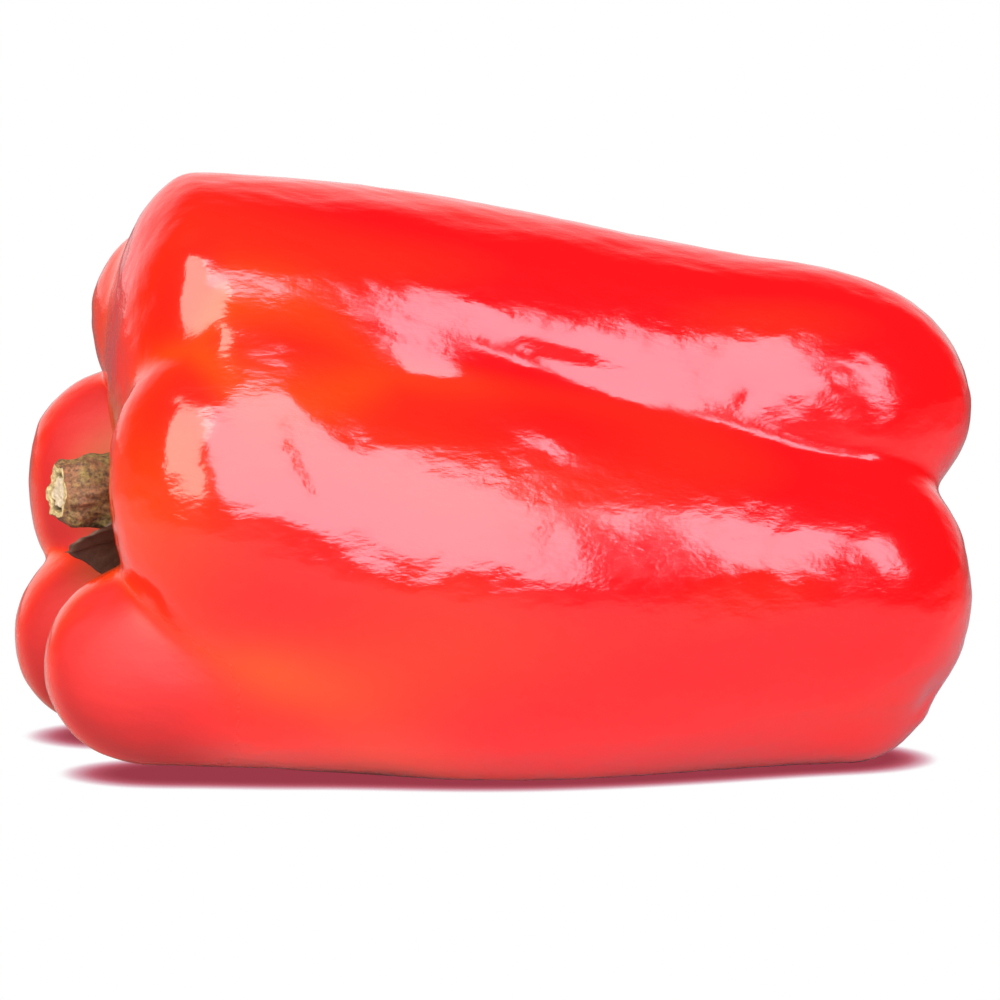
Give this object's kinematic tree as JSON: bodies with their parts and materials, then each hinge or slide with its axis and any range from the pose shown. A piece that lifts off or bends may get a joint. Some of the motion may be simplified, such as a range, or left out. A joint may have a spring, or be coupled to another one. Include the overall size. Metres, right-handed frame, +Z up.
{
  "type": "bell pepper",
  "caption": "Large elongated red bell pepper lying on its side, with glossy lobed flesh, a hollow at the stem end, a dried calyx and a short cut woody stem.",
  "frame": {"origin": "centre of the bounding box in X and Y, at the surface the fruit lies on", "axes": "+X runs along the fruit from the stem end to the blossom end, +Y points to the fruit's back, +Z is up"},
  "size_m": [0.1234, 0.074, 0.0751],
  "materials": {
    "red_skin": "glossy waxy red fruit skin",
    "dried_calyx": "matte, dried and shrivelled, dark brown",
    "stem_bark": "matte, fibrous brown bark with a pale cut end"
  },
  "bodies": {
    "root": {"fruit": "red_skin", "calyx": "dried_calyx", "stem": "stem_bark"}
  },
  "joints": []
}
